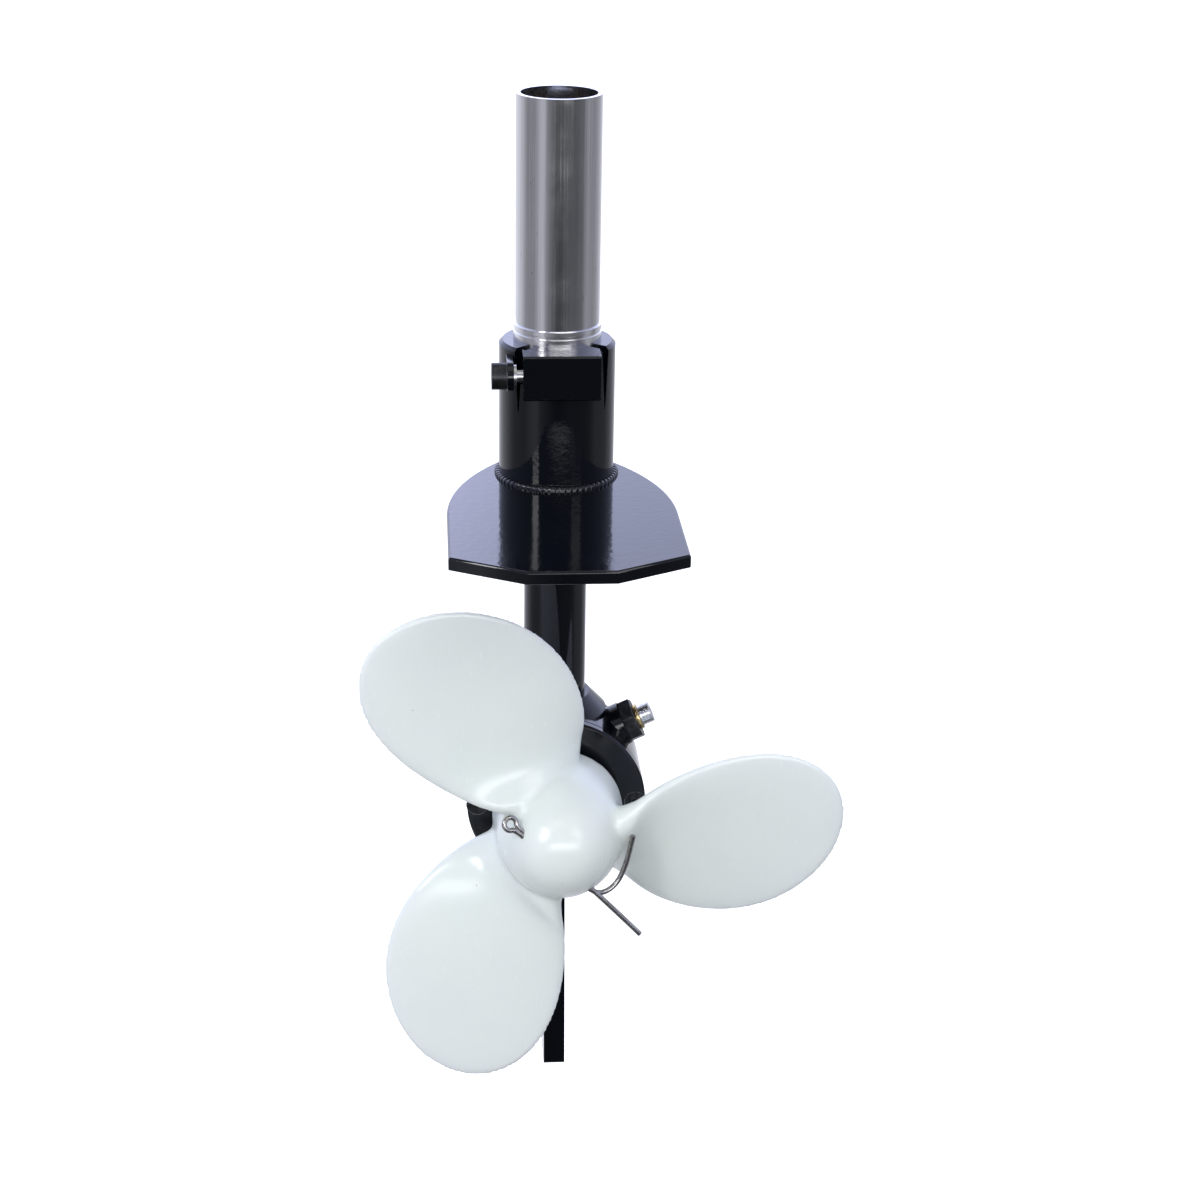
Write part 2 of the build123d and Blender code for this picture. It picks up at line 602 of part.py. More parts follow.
pinion = bevel_gear(
    PINION_TEETH, GEAR_TEETH, DRIVE_R + SEAT, PINION_HUB_R, PINION_HUB_LENGTH, 90,
)
pinion = Pos(0, 0, SHAFT_Z) * Rot(180, 0, 0) * pinion
# The pinion's own slot runs out of its end face, so that it slides over the key.
open_slot = key_slot + Pos(0, 0, PINION_KEY_RUN) * key_slot
save("pinion_gear", pinion - open_slot)
pinion_clip = circlip(
    clip_floor_r + SEAT, DRIVE_R + PINION_CLIP_REACH, PINION_CLIP_Z + SEAT,
    PINION_CLIP_WIDTH - CLIP_SLACK, CLIP_OPENING,
)
save("pinion_circlip", pinion_clip)

tube_bush_r = TUBE_R - TUBE_WALL - SEAT
leg_bush_r = LOWER_R - LOWER_WALL - SEAT
shaft_hole_r = DRIVE_R + RUN
save("upper_shaft_bush", tube(tube_bush_r, shaft_hole_r, *UPPER_BUSH_Z))
save("middle_shaft_bush", tube(tube_bush_r, shaft_hole_r, *MIDDLE_BUSH_Z))
save("lower_shaft_bush", tube(leg_bush_r, shaft_hole_r, *LOWER_BUSH_Z))
save("drive_shaft_seal", tube(leg_bush_r, shaft_hole_r, *SEAL_Z))

outer_ring, inner_ring, balls = bearing(
    DRIVE_R, BEARING_R, PINION_BEARING_WIDTH, PINION_BALLS, PINION_BALL_R,
)
lift = Pos(0, 0, PINION_BEARING_Z + SEAT)
save("pinion_bearing_outer_ring", lift * outer_ring)
save("pinion_bearing_inner_ring", lift * inner_ring)
save("pinion_bearing_balls", lift * balls)
bearing_clip = circlip(
    BEARING_CLIP_R, BEARING_R - SEAT, BEARING_CLIP_Z, BEARING_CLIP_WIDTH, BEARING_CLIP_OPENING,
)
save("bearing_circlip", bearing_clip)

# ---------------------------------------------------------------------------
# Propeller shaft, its gear and bearings
# ---------------------------------------------------------------------------
prop_shaft = prop_disc(PROP_SHAFT_R, PROP_SHAFT_AFT, PROP_SHAFT_FORE)
gear_key_aft, gear_key_fore = GEAR_KEY_Y
gear_key_low, gear_key_high = (SHAFT_Z + rise for rise in GEAR_KEY_RISE)
gear_key = box_between(
    (-GEAR_KEY_HALF, gear_key_aft, gear_key_low), (GEAR_KEY_HALF, gear_key_fore, gear_key_high),
)
slot_half = GEAR_KEY_HALF + SEAT
gear_key_slot = box_between(
    (-slot_half, gear_key_aft - SEAT, gear_key_low),
    (slot_half, gear_key_fore + SEAT, gear_key_high + SEAT),
)
gear_clip_floor_r = PROP_SHAFT_R - CLIP_GROOVE
prop_shaft -= gear_key_slot
prop_shaft -= prop_ring(
    PROP_SHAFT_R + 1, gear_clip_floor_r, GEAR_CLIP_Y, GEAR_CLIP_Y + GEAR_CLIP_WIDTH,
)
cotter_turn = math.radians(COTTER_ANGLE)
cotter_dir = Vector(math.cos(cotter_turn), 0, math.sin(cotter_turn))
cotter_centre = Vector(0, COTTER_Y, SHAFT_Z)


def on_cotter(distance):
    """Point on the cotter pin's line, at a distance from the shaft's axis."""
    return cotter_centre + cotter_dir * distance


cotter_hole = rod(on_cotter(-COTTER_HOLE / 2), cotter_dir, COTTER_R + SEAT, COTTER_HOLE)
pin_start = (-SHEAR_PIN_HALF, SHEAR_PIN_Y, SHAFT_Z)
shear_pin = rod(pin_start, along_x, SHEAR_PIN_R, 2 * SHEAR_PIN_HALF)
pin_hole_half = SHEAR_PIN_HALF + SHEAR_PIN_GAP
pin_hole_start = (-pin_hole_half, SHEAR_PIN_Y, SHAFT_Z)
shear_pin_hole = rod(pin_hole_start, along_x, SHEAR_PIN_R + SEAT, 2 * pin_hole_half)
save("prop_shaft", prop_shaft - cotter_hole - shear_pin_hole)
save("gear_key", gear_key)
save("shear_pin", shear_pin)

# A gap between two teeth faces up, so that a pinion tooth sits in it.
half_tooth = 180 / GEAR_TEETH
to_prop_axis = Pos(0, 0, SHAFT_Z) * Rot(-90, 0, 0)
driven = bevel_gear(
    GEAR_TEETH, PINION_TEETH, PROP_SHAFT_R + SEAT, DRIVEN_HUB_R, DRIVEN_HUB_LENGTH,
    half_tooth - 90,
)
save("driven_gear", to_prop_axis * driven - gear_key_slot)
gear_clip = circlip(
    gear_clip_floor_r + SEAT, PROP_SHAFT_R + GEAR_CLIP_REACH, GEAR_CLIP_Y + SEAT,
    GEAR_CLIP_WIDTH - CLIP_SLACK, CLIP_OPENING,
)
save("gear_circlip", to_prop_axis * gear_clip)

outer_ring, inner_ring, balls = bearing(
    PROP_SHAFT_R, BEARING_R, SHAFT_BEARING_WIDTH, SHAFT_BALLS, SHAFT_BALL_R,
)
for place, aft in (("front", FRONT_BEARING_Y), ("rear", REAR_BEARING_Y)):
    move = to_prop_axis * Pos(0, 0, aft)
    save(place + "_bearing_outer_ring", move * outer_ring)
    save(place + "_bearing_inner_ring", move * inner_ring)
    save(place + "_bearing_balls", move * balls)
thrust_washer = prop_ring(
    THRUST_WASHER_R, PROP_SHAFT_R + SEAT, HUB_BASE + SEAT, HUB_BASE + THRUST_WASHER,
)
save("thrust_washer", thrust_washer)

# ---------------------------------------------------------------------------
# Propeller: hub with a blunt nose and three broad blades
# ---------------------------------------------------------------------------
hub_line = Curve() + [
    Polyline((0, HUB_NOSE), (0, HUB_BASE), (HUB_BASE_R - HUB_EDGE, HUB_BASE),
             (HUB_BASE_R, HUB_BASE - HUB_EDGE), (HUB_WAIST_R, HUB_WAIST)),
    Spline((HUB_WAIST_R, HUB_WAIST), HUB_SHOULDER, (0, HUB_NOSE), tangents=[(-0.12, -1), (-1, 0)]),
]
hub = Pos(0, 0, SHAFT_Z) * revolve(make_face(hub_line), Axis.Y)


def blade_section(turn):
    """Elliptical section of a blade. turn runs from 0 at the tip to 180 at the root."""
    c = math.cos(math.radians(turn))
    s = math.sin(math.radians(turn))
    radius = BLADE_CENTRE + BLADE_REACH * c
    half_chord = BLADE_HALF_CHORD * s * (1 + OUTLINE_LEAN[0] * c + OUTLINE_LEAN[1] * c * c)
    skew = SKEW[0] * c + SKEW[1] * c * c
    thickness = TIP_THICKNESS + ROOT_THICKENING * ((1 - c) / 2) ** 1.5
    root = math.exp(-max(radius - HUB_BASE_R, 0) / ROOT_REACH)
    pitch_angle = math.atan2(BLADE_PITCH * (1 + ROOT_TWIST * root), 2 * math.pi * radius)
    rake = BLADE_RAKE * (radius - HUB_BASE_R)
    across = Vector(0, -math.sin(pitch_angle), math.cos(pitch_angle))
    origin = Vector(radius, BLADE_Y - rake, 0) + across * skew
    plane = Plane(origin=origin, x_dir=across, z_dir=(1, 0, 0))
    return plane * Ellipse(half_chord, thickness)


section_turns = (12, 24, 38, 54, 70, 86, 102, 118, 130)
blade = loft([blade_section(turn) for turn in section_turns])
propeller = hub
for i in range(BLADES):
    turn = BLADE_START - 360 * i / BLADES
    propeller += Pos(0, 0, SHAFT_Z) * Rot(0, -turn, 0) * blade
propeller -= prop_disc(PROP_SHAFT_R + SEAT, PROP_SHAFT_AFT - 0.3, HUB_BASE + 1)
propeller -= cotter_hole
propeller -= shear_pin_hole
save("propeller", propeller)

# Cotter pin: an eye, a round shank through nose and shaft, one straight leg, one bent back
eye_centre = on_cotter(SHANK_RANGE[0] - EYE_R + SEAT)
eye_plane = Plane(origin=eye_centre, x_dir=cotter_dir, z_dir=(0.3, -0.85, 0.4))
eye = eye_plane * Torus(EYE_R, WIRE_R)
shank = rod(on_cotter(SHANK_RANGE[0]), cotter_dir, COTTER_R, SHANK_RANGE[1] - SHANK_RANGE[0])
leg_length = STRAIGHT_LEG[1] - STRAIGHT_LEG[0]
straight_leg = rod(on_cotter(STRAIGHT_LEG[0]), cotter_dir, LEG_R, leg_length)
bend_points = [on_cotter(SHANK_RANGE[1]), on_cotter(BEND_START) + Vector(*BEND_RISE)]
for across, aft, rise in BENT_LEG:
    bend_points.append(Vector(across, aft, SHAFT_Z + rise))
leg_path = FilletPolyline(*bend_points, radius=BEND_R)
leg_profile = Plane(origin=leg_path @ 0, z_dir=leg_path % 0) * Circle(WIRE_R)
bent_leg = sweep(leg_profile, path=leg_path)
save("cotter_pin", eye + shank + straight_leg + bent_leg)

for name, shape in pieces.items():
    export_step(shape, "parts/" + name + ".step")
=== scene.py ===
import json
import math

import bmesh
import bpy
import numpy as np
from mathutils import Matrix, Vector

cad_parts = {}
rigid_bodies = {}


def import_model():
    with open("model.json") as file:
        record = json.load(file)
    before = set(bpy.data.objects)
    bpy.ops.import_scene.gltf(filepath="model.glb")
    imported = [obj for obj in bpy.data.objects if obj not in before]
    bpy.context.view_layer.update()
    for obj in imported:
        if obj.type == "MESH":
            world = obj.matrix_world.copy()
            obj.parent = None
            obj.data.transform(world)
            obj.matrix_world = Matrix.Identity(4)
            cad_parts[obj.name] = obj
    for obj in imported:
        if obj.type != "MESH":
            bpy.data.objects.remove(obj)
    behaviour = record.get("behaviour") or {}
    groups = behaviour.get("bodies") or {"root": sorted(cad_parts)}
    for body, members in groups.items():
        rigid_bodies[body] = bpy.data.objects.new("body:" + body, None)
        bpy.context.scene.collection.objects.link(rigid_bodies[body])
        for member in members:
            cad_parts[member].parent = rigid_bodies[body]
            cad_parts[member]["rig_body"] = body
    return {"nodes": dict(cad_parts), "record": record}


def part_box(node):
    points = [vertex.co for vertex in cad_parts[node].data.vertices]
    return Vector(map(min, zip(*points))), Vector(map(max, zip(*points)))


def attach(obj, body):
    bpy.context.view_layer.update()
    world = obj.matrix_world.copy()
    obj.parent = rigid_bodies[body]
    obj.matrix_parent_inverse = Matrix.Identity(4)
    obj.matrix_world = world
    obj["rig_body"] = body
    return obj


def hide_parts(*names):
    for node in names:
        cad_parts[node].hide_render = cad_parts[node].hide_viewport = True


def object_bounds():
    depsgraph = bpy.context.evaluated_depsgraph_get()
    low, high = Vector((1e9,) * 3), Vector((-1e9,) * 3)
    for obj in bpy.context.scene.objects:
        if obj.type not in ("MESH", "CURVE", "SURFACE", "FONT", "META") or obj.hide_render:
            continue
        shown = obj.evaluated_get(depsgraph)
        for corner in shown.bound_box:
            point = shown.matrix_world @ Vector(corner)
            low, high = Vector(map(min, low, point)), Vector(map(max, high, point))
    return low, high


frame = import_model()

# The lower leg of a long-shaft trolling motor. Metres, +Z up, -Y aft, the origin at the drive
# tube's top end. MM turns the millimetres that the pieces are worked out in into metres.
MM = 0.001
scene = bpy.context.scene
cad_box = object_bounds()
slot_of_node = {part["node"]: part["material_slot"] for part in frame["record"]["subparts"]}
shaft_low, shaft_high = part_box("prop_shaft")
PROP_AXIS_Z = (shaft_low.z + shaft_high.z) / 2


# ---------------------------------------------------------------------------
# Finishes
# ---------------------------------------------------------------------------
class Finish:
    """A material in the making: one Principled shader, fed by procedural textures."""

    def __init__(self, slot, colour, **sockets):
        self.material = bpy.data.materials.new(slot)
        self.material.use_nodes = True
        self.tree = self.material.node_tree
        self.shader = self.tree.nodes["Principled BSDF"]
        self.place = self.node("ShaderNodeTexCoord").outputs["Object"]
        self.normal = None
        self.shader.inputs["Base Color"].default_value = (*colour, 1)
        for socket, value in sockets.items():
            self.shader.inputs[socket.replace("_", " ")].default_value = value

    def node(self, kind, **settings):
        made = self.tree.nodes.new(kind)
        for key, value in settings.items():
            setattr(made, key, value)
        return made

    def link(self, output, socket):
        self.tree.links.new(output, socket)

    def noise(self, size_mm, stretch=(1, 1, 1), detail=4.0):
        """Noise from 0 to 1 whose features are about size_mm across, longer along a stretched axis."""
        mapping = self.node("ShaderNodeMapping")
        mapping.inputs["Scale"].default_value = [1 / s for s in stretch]
        self.link(self.place, mapping.inputs["Vector"])
        noise = self.node("ShaderNodeTexNoise")
        noise.inputs["Scale"].default_value = 1 / (size_mm * MM)
        noise.inputs["Detail"].default_value = detail
        noise.inputs["Roughness"].default_value = 0.55
        self.link(mapping.outputs["Vector"], noise.inputs["Vector"])
        return noise.outputs["Fac"]

    def cells(self, size_mm):
        """Distance to the nearest of many scattered points about size_mm apart."""
        cells = self.node("ShaderNodeTexVoronoi")
        cells.inputs["Scale"].default_value = 1 / (size_mm * MM)
        self.link(self.place, cells.inputs["Vector"])
        return cells.outputs["Distance"]

    def remap(self, value, start, end, low, high):
        """Turns values from start to end into values from low to high, and stops there."""
        remap = self.node("ShaderNodeMapRange")
        limits = {"From Min": start, "From Max": end, "To Min": low, "To Max": high}
        for socket, number in limits.items():
            remap.inputs[socket].default_value = number
        self.link(value, remap.inputs["Value"])
        return remap.outputs["Result"]

    def combine(self, operation, first, second):
        """Arithmetic on an output and either another output or a number."""
        math_node = self.node("ShaderNodeMath", operation=operation)
        self.link(first, math_node.inputs[0])
        if isinstance(second, (int, float)):
            math_node.inputs[1].default_value = second
        else:
            self.link(second, math_node.inputs[1])
        return math_node.outputs[0]

    def blend(self, factor, first, second):
        """Colour between two colours; each is a tuple or an output."""
        mix = self.node("ShaderNodeMix", data_type="RGBA")
        self.link(factor, mix.inputs["Factor"])
        for socket, colour in ((mix.inputs[6], first), (mix.inputs[7], second)):
            if isinstance(colour, tuple):
                socket.default_value = (*colour, 1)
            else:
                self.link(colour, socket)
        return mix.outputs[2]

    def edges(self, reach_mm):
        """1 beside sharp edges, within about reach_mm of them, and 0 elsewhere."""
        bevel = self.node("ShaderNodeBevel", samples=4)
        bevel.inputs["Radius"].default_value = reach_mm * MM
        facing = self.node("ShaderNodeVectorMath", operation="DOT_PRODUCT")
        geometry = self.node("ShaderNodeNewGeometry")
        self.link(bevel.outputs["Normal"], facing.inputs[0])
        self.link(geometry.outputs["Normal"], facing.inputs[1])
        return self.remap(facing.outputs["Value"], 0.97, 0.80, 0, 1)

    def colour(self, output):
        self.link(output, self.shader.inputs["Base Color"])

    def roughness(self, output):
        self.link(output, self.shader.inputs["Roughness"])

    def bump(self, height, depth_mm):
        """Raises the surface by up to depth_mm where height is 1, over any bump made before."""
        bump = self.node("ShaderNodeBump")
        bump.inputs["Distance"].default_value = depth_mm * MM
        self.link(height, bump.inputs["Height"])
        if self.normal is not None:
            self.link(self.normal, bump.inputs["Normal"])
        self.normal = bump.outputs["Normal"]
        self.link(self.normal, self.shader.inputs["Normal"])


def tube_aluminium(slot):
    """Polished drawn tube: fine lines along it, a few scratches, faint handling marks."""
    finish = Finish(slot, (0.66, 0.66, 0.67), Metallic=1.0, Roughness=0.15)
    lines = finish.noise(0.5, stretch=(1, 1, 120), detail=6)
    smudges = finish.noise(14, detail=3)
    pits = finish.noise(1.6, stretch=(1, 1, 3), detail=2)
    light_share = finish.remap(lines, 0.3, 0.7, 0, 1)
    clean = finish.blend(light_share, (0.60, 0.60, 0.61), (0.71, 0.71, 0.72))
    pitted = finish.remap(pits, 0.70, 0.80, 0, 0.5)
    finish.colour(finish.blend(pitted, clean, (0.32, 0.33, 0.36)))
    fine = finish.remap(lines, 0.3, 0.7, 0.09, 0.16)
    finish.roughness(finish.combine("ADD", fine, finish.remap(smudges, 0.45, 0.75, 0, 0.10)))
    finish.bump(lines, 0.010)
    return finish.material


def bush_steel(slot):
    """Turned and plated ring: tool marks round it, and darker stains."""
    finish = Finish(slot, (0.8, 0.8, 0.82), Metallic=1.0, Roughness=0.2)
    rings = finish.noise(0.35, stretch=(40, 40, 1), detail=3)
    stains = finish.noise(4, detail=4)
    stained = finish.remap(stains, 0.5, 0.75, 0, 0.6)
    finish.colour(finish.blend(stained, (0.84, 0.84, 0.86), (0.42, 0.41, 0.40)))
    finish.roughness(finish.remap(rings, 0.3, 0.7, 0.12, 0.26))
    finish.bump(rings, 0.02)
    return finish.material


def enamel(slot, grain_mm, grain_depth):
    """Glossy black enamel: orange peel, dust in the coat, dull rubbed edges."""
    finish = Finish(slot, (0.006, 0.006, 0.007), Roughness=0.1, IOR=1.46)
    peel = finish.noise(grain_mm, detail=2)
    haze = finish.noise(22, detail=4)
    dust = finish.remap(finish.cells(3.4), 0.03, 0.05, 1, 0)
    dust = finish.combine("MULTIPLY", dust, finish.remap(finish.noise(9), 0.60, 0.68, 0, 1))
    rubbed = finish.remap(finish.noise(1.5), 0.45, 0.6, 0, 1)
    worn = finish.combine("MULTIPLY", finish.edges(0.4), rubbed)
    base = finish.blend(dust, (0.0015, 0.0025, 0.0045), (0.06, 0.06, 0.065))
    finish.colour(finish.blend(worn, base, (0.03, 0.03, 0.033)))
    sheen = finish.remap(haze, 0.35, 0.75, 0.06, 0.12)
    sheen = finish.combine("ADD", sheen, finish.combine("MULTIPLY", dust, 0.3))
    finish.roughness(finish.combine("ADD", sheen, finish.combine("MULTIPLY", worn, 0.25)))
    finish.bump(peel, grain_depth)
    finish.bump(dust, 0.02)
    return finish.material


def black_paint(slot):
    return enamel(slot, 2.4, 0.030)


def case_paint(slot):
    return enamel(slot, 1.1, 0.018)


def fastener_black(slot):
    """Black oxide on steel: satin, with bare steel showing at the corners."""
    finish = Finish(slot, (0.03, 0.03, 0.035), Metallic=0.7, Roughness=0.4)
    grain = finish.noise(0.6, detail=5)
    worn = finish.combine("MULTIPLY", finish.edges(0.35), finish.remap(grain, 0.4, 0.6, 0.2, 1))
    patchy = finish.remap(finish.noise(2.5), 0.4, 0.7, 0, 1)
    patches = finish.blend(patchy, (0.018, 0.018, 0.02), (0.05, 0.05, 0.055))
    finish.colour(finish.blend(worn, patches, (0.30, 0.30, 0.31)))
    finish.roughness(finish.remap(grain, 0.3, 0.7, 0.30, 0.5))
    finish.bump(grain, 0.02)
    return finish.material


def bright_metal(slot, colour, dull, grain_mm, stretch, low, high):
    """Bare metal with drawn or ground lines and duller patches."""
    finish = Finish(slot, colour, Metallic=1.0, Roughness=(low + high) / 2)
    lines = finish.noise(grain_mm, stretch=stretch, detail=5)
    patches = finish.noise(5, detail=5)
    dulled = finish.remap(patches, 0.45, 0.72, 0, 1)
    finish.colour(finish.blend(dulled, colour, dull))
    rough = finish.remap(lines, 0.3, 0.7, low, high)
    finish.roughness(finish.combine("ADD", rough, finish.remap(patches, 0.45, 0.72, 0, 0.12)))
    finish.bump(lines, 0.012)
    return finish.material


def fastener_zinc(slot):
    return bright_metal(slot, (0.68, 0.68, 0.70), (0.45, 0.44, 0.42), 0.5, (1, 1, 1), 0.18, 0.32)


def stainless(slot):
    return bright_metal(slot, (0.46, 0.45, 0.43), (0.22, 0.20, 0.18), 0.25, (3, 3, 3), 0.16, 0.30)


def brass_plug(slot):
    return bright_metal(slot, (0.62, 0.48, 0.24), (0.20, 0.15, 0.09), 0.4, (1, 1, 1), 0.20, 0.36)


def shaft_steel(slot):
    return bright_metal(slot, (0.52, 0.52, 0.54), (0.30, 0.30, 0.31), 0.3, (20, 20, 1), 0.16, 0.28)


def gear_steel(slot):
    return bright_metal(slot, (0.34, 0.34, 0.36), (0.18, 0.17, 0.16), 0.4, (1, 1, 1), 0.25, 0.4)


def bearing_steel(slot):
    return bright_metal(slot, (0.72, 0.72, 0.74), (0.55, 0.55, 0.56), 0.3, (1, 1, 1), 0.06, 0.14)


def bronze_bush(slot):
    return bright_metal(slot, (0.60, 0.40, 0.20), (0.34, 0.22, 0.10), 0.35, (1, 1, 1), 0.35, 0.5)


def soft_black(slot, colour, grain_mm, depth, low, high):
    """Matt moulded or pressed sheet stock, with an even grain."""
    finish = Finish(slot, colour, Roughness=(low + high) / 2)
    grain = finish.noise(grain_mm, detail=6)
    lighter = tuple(1.6 * c for c in colour)
    finish.colour(finish.blend(finish.remap(grain, 0.35, 0.7, 0, 1), colour, lighter))
    finish.roughness(finish.remap(grain, 0.3, 0.7, low, high))
    finish.bump(grain, depth)
    return finish.material


def seal_rubber(slot):
    return soft_black(slot, (0.020, 0.020, 0.022), 0.8, 0.02, 0.5, 0.7)


def gasket_paper(slot):
    return soft_black(slot, (0.018, 0.018, 0.020), 0.5, 0.05, 0.75, 0.95)


def nylon_white(slot):
    """Moulded white nylon: light passes a little way into it; faint flow marks and scuffs."""
    finish = Finish(
        slot, (0.83, 0.88, 0.82), Roughness=0.2, IOR=1.53, Subsurface_Weight=0.35,
        Subsurface_Scale=0.006,
    )
    finish.shader.inputs["Subsurface Radius"].default_value = (1.0, 1.0, 0.9)
    clouds = finish.noise(26, detail=3)
    flow = finish.noise(5, stretch=(1, 4, 1), detail=4)
    specks = finish.remap(finish.cells(7), 0.03, 0.05, 1, 0)
    specks = finish.combine("MULTIPLY", specks, finish.remap(finish.noise(16), 0.55, 0.62, 0, 0.7))
    cloudy = finish.remap(clouds, 0.35, 0.7, 0, 1)
    base = finish.blend(cloudy, (0.84, 0.89, 0.83), (0.81, 0.87, 0.815))
    finish.colour(finish.blend(specks, base, (0.42, 0.40, 0.36)))
    scuffs = finish.remap(finish.noise(0.6, stretch=(1, 1, 9), detail=2), 0.66, 0.74, 0, 0.18)
    finish.roughness(finish.combine("ADD", finish.remap(flow, 0.3, 0.7, 0.16, 0.24), scuffs))
    finish.bump(finish.noise(0.9, detail=3), 0.012)
    finish.bump(flow, 0.05)
    return finish.material


MAKERS = {
    maker.__name__: maker
    for maker in (
        tube_aluminium, bush_steel, black_paint, case_paint, fastener_black, fastener_zinc,
        stainless, brass_plug, nylon_white, shaft_steel, gear_steel, bearing_steel, bronze_bush,
        seal_rubber, gasket_paper,
    )
}
materials = {slot: make(slot) for slot, make in MAKERS.items()}
for node, part in frame["nodes"].items():
    part.data.materials.clear()
    part.data.materials.append(materials[slot_of_node[node]])


# ---------------------------------------------------------------------------
# Pieces that stand for CAD nodes
# ---------------------------------------------------------------------------
def add_piece(name, mesh, *nodes):
    """Puts a mesh in the scene, in place of CAD nodes, with their body and finish."""
    piece = bpy.data.objects.new(name, mesh)
    scene.collection.objects.link(piece)
    slot = slot_of_node[nodes[0]]
    mesh.materials.clear()
    mesh.materials.append(materials[slot])
    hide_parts(*nodes)
    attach(piece, frame["nodes"][nodes[0]]["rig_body"])
    return piece


def smooth(mesh, angle=30):
    mesh.polygons.foreach_set("use_smooth", [True] * len(mesh.polygons))
    mesh.set_sharp_from_angle(angle=math.radians(angle))


def mesh_from(name, vertices, faces):
    mesh = bpy.data.meshes.new(name)
    mesh.from_pydata([tuple(v) for v in vertices], [], faces)
    mesh.update()
    return mesh


def ring_faces(rings, around):
    """Quads between closed rings of points, each ring having the same number of points."""
    faces = []
    for i in range(rings - 1):
        here, beyond = i * around, (i + 1) * around
        for j in range(around):
            k = (j + 1) % around
            faces.append((here + j, here + k, beyond + k, beyond + j))
    return faces


def face_outwards(mesh):
    """Turns every face of closed meshes to the outside."""
    work = bmesh.new()
    work.from_mesh(mesh)
    bmesh.ops.recalc_face_normals(work, faces=work.faces)
    work.to_mesh(mesh)
    work.free()


HARD_EDGE = math.radians(30)


def rounded(node, width_mm):
    """A copy of a CAD node with its hard edges rounded over."""
    mesh = bpy.data.meshes.new(node + "_rounded")
    work = bmesh.new()
    work.from_mesh(frame["nodes"][node].data)
    bmesh.ops.remove_doubles(work, verts=work.verts, dist=0.002 * MM)
    bmesh.ops.dissolve_limit(
        work, angle_limit=math.radians(0.4), verts=work.verts, edges=work.edges,
        use_dissolve_boundaries=False,
    )
    inner_edges = [e for e in work.edges if len(e.link_faces) == 2]
    hard = [e for e in inner_edges if e.calc_face_angle() > HARD_EDGE]
    bmesh.ops.bevel(
        work, geom=hard, offset=width_mm * MM, segments=3, profile=0.5, affect="EDGES",
        clamp_overlap=True,
    )
    work.to_mesh(mesh)
    work.free()
    smooth(mesh, 40)
    piece = add_piece(node + "_rounded", mesh, node)
    weighted = piece.modifiers.new("even_shading", "WEIGHTED_NORMAL")
    weighted.keep_sharp = True
    return piece


# Width of the rounding on each node's hard edges, in mm
ROUNDED = {
    "clamp_collar": 0.35, "clamp_block": 0.5, "clamp_ear": 0.35, "clamp_screw": 0.3,
    "cavitation_plate": 0.7, "skeg": 0.7, "rear_cover": 0.4, "filler_plug": 0.35,
    "vent_screw": 0.35, "vent_washer": 0.25, "shim_bush": 0.2,
}
rounded_pieces = {node: rounded(node, width) for node, width in ROUNDED.items()}


def bare_shank(screw, head_end):
    """Leaves a screw's head black and makes its shank bright, from head_end along X."""
    screw.data.materials.append(materials["fastener_zinc"])
    for face in screw.data.polygons:
        if face.center.x > head_end:
            face.material_index = 1


bare_shank(rounded_pieces["clamp_screw"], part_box("clamp_ear")[0].x + 0.2 * MM)


BEAD_SIZE = 0.62                      # share of the CAD bead's section that the weld fills
BEAD_LIMIT = 1.02
BEAD_FULLNESS = 0.75                  # below 1 the bead bulges
BEAD_SINK = 0.3 * MM                  # how far it reaches into the tube's wall


def weld_bead(node, inner, passes, seed_phase):
    """Hand-laid weld bead round a tube: a convex fillet with overlapping ripples."""
    low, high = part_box(node)
    foot = (high.x - low.x) / 2 - inner
    height = high.z - low.z
    rises = node == "collar_weld"
    base, sign = (low.z, 1) if rises else (high.z, -1)
    around, across = 6 * passes, 9
    vertices = []
    for step in range(across):
        t = math.pi / 2 * step / (across - 1)
        for i in range(around):
            turn = 2 * math.pi * i / around
            slow = 0.06 * math.sin(3 * turn + seed_phase)
            wander = slow + 0.05 * math.sin(7 * turn + 2 * seed_phase)
            ripple = 0.11 * (abs(math.sin(passes * turn / 2 + 0.8 * t)) - 0.5)
            size = min(BEAD_SIZE + wander + ripple, BEAD_LIMIT)
            out = inner + size * foot * math.sin(t) ** BEAD_FULLNESS
            up = base + sign * size * height * math.cos(t) ** BEAD_FULLNESS
            vertices.append((out * math.cos(turn), out * math.sin(turn), up))
    sunk = inner - BEAD_SINK
    for i in range(around):
        turn = 2 * math.pi * i / around
        vertices.append((sunk * math.cos(turn), sunk * math.sin(turn), base))
    faces = ring_faces(across + 1, around)
    last = across * around
    for i in range(around):
        k = (i + 1) % around
        faces.append((last + i, last + k, k, i))
    mesh = mesh_from(node + "_bead", vertices, faces)
    face_outwards(mesh)
    smooth(mesh, 50)
    return add_piece(node + "_bead", mesh, node)


collar_r = (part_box("clamp_collar")[1].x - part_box("clamp_collar")[0].x) / 2
lower_r = (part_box("lower_tube")[1].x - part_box("lower_tube")[0].x) / 2
weld_bead("collar_weld", collar_r, 62, 0.4)
weld_bead("tube_weld", lower_r, 38, 1.7)


